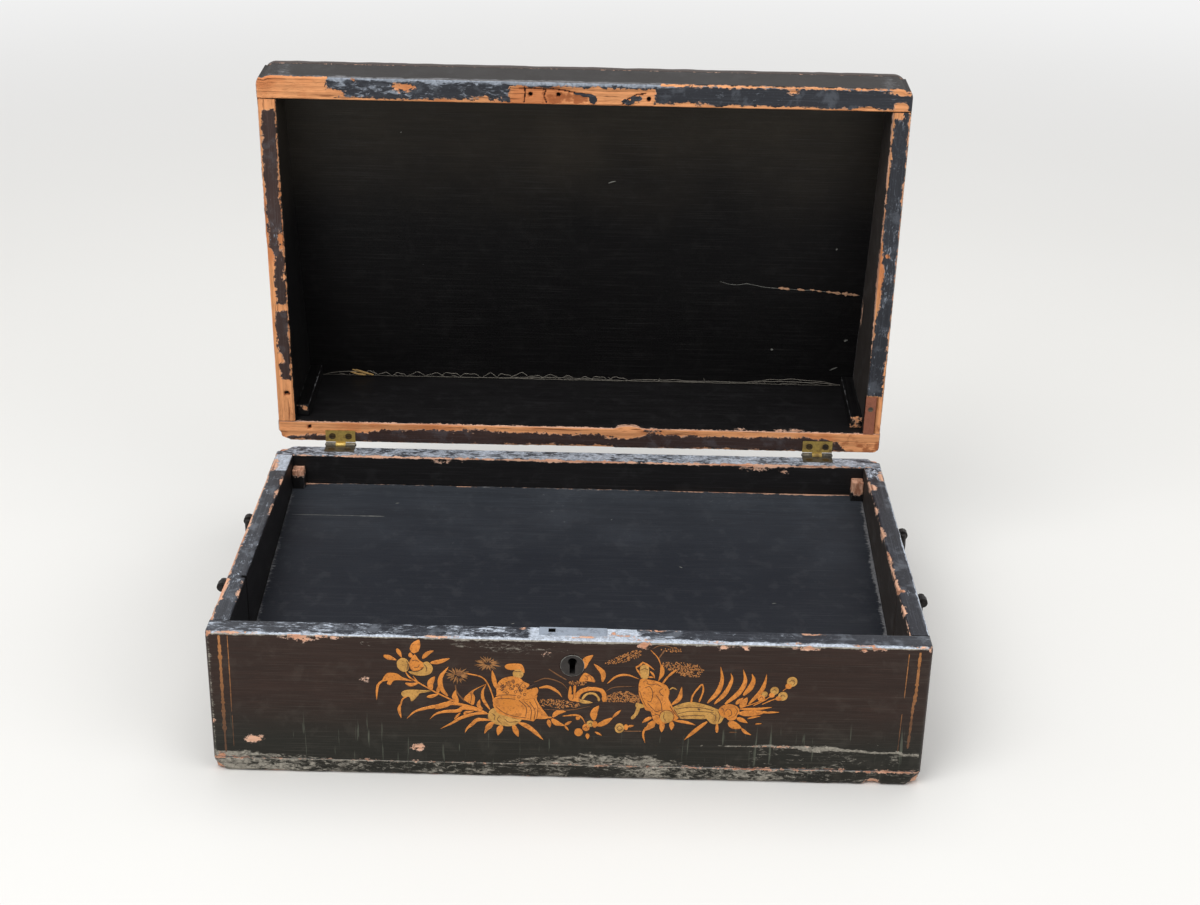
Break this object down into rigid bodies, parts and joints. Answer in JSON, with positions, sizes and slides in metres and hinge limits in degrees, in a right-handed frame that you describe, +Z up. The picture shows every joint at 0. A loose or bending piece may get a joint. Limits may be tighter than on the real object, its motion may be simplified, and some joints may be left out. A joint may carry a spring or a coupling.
{
  "type": "lacquer work box",
  "caption": "Oblong antique lacquer work box with a wedge-shaped hinged lid standing open, a sloping inner floor, a rim lock and drop handles on its sides.",
  "frame": {"origin": "centre of the case's underside", "axes": "+X along the long side to the right, -Y to the front with the keyhole, +Z up"},
  "size_m": [0.403, 0.3228, 0.3303],
  "materials": {
    "lacquer": "worn dark lacquer over wood",
    "bare_wood": "dry bare softwood",
    "iron": "dark forged iron, lightly rusted",
    "brass": "aged dull brass",
    "steel": "grey worn steel"
  },
  "bodies": {
    "case": {"case_front": "lacquer", "case_back": "lacquer", "case_left": "lacquer", "case_right": "lacquer", "case_bottom": "lacquer", "false_floor": "lacquer", "ledge_front": "bare_wood", "ledge_back": "bare_wood", "case_block_left": "bare_wood", "case_block_right": "bare_wood", "case_bottom_nails": "iron", "lock_plate": "steel", "lock_cap": "iron", "lock_spring": "steel", "lock_key_pin": "iron", "lock_screws": "iron", "escutcheon": "iron", "handle_left_posts": "iron", "handle_right_posts": "iron", "hinge_left_case_leaf": "brass", "hinge_right_case_leaf": "brass", "hinge_left_pin": "steel", "hinge_right_pin": "steel", "case_hinge_screws": "brass"},
    "lid": {"lid_front": "lacquer", "lid_back": "lacquer", "lid_left": "lacquer", "lid_right": "lacquer", "lid_top": "lacquer", "lid_block_left": "bare_wood", "lid_block_right": "bare_wood", "lid_top_nails": "iron", "rim_patch": "bare_wood", "rim_patch_screw": "iron", "hinge_left_lid_leaf": "brass", "hinge_right_lid_leaf": "brass", "lid_hinge_screws": "brass"},
    "handle_left": {"handle_left_bail": "iron"},
    "handle_right": {"handle_right_bail": "iron"},
    "bolt": {"lock_bolt": "iron"}
  },
  "joints": [
    {"name": "lid_hinge", "type": "hinge", "parent": "case", "child": "lid", "pos_m": [0, 0.1219, 0.0869], "axis": [1, 0, 0], "range_deg": [0, 86.8]},
    {"name": "left_handle_swing", "type": "hinge", "parent": "case", "child": "handle_left", "pos_m": [-0.1985, 0, 0.072], "axis": [0, 1, 0], "range_deg": [0, 95]},
    {"name": "right_handle_swing", "type": "hinge", "parent": "case", "child": "handle_right", "pos_m": [0.1985, 0, 0.072], "axis": [0, -1, 0], "range_deg": [0, 95]},
    {"name": "bolt_slide", "type": "slide", "parent": "case", "child": "bolt", "axis": [-1, 0, 0], "range_m": [0, 0.0055]}
  ]
}
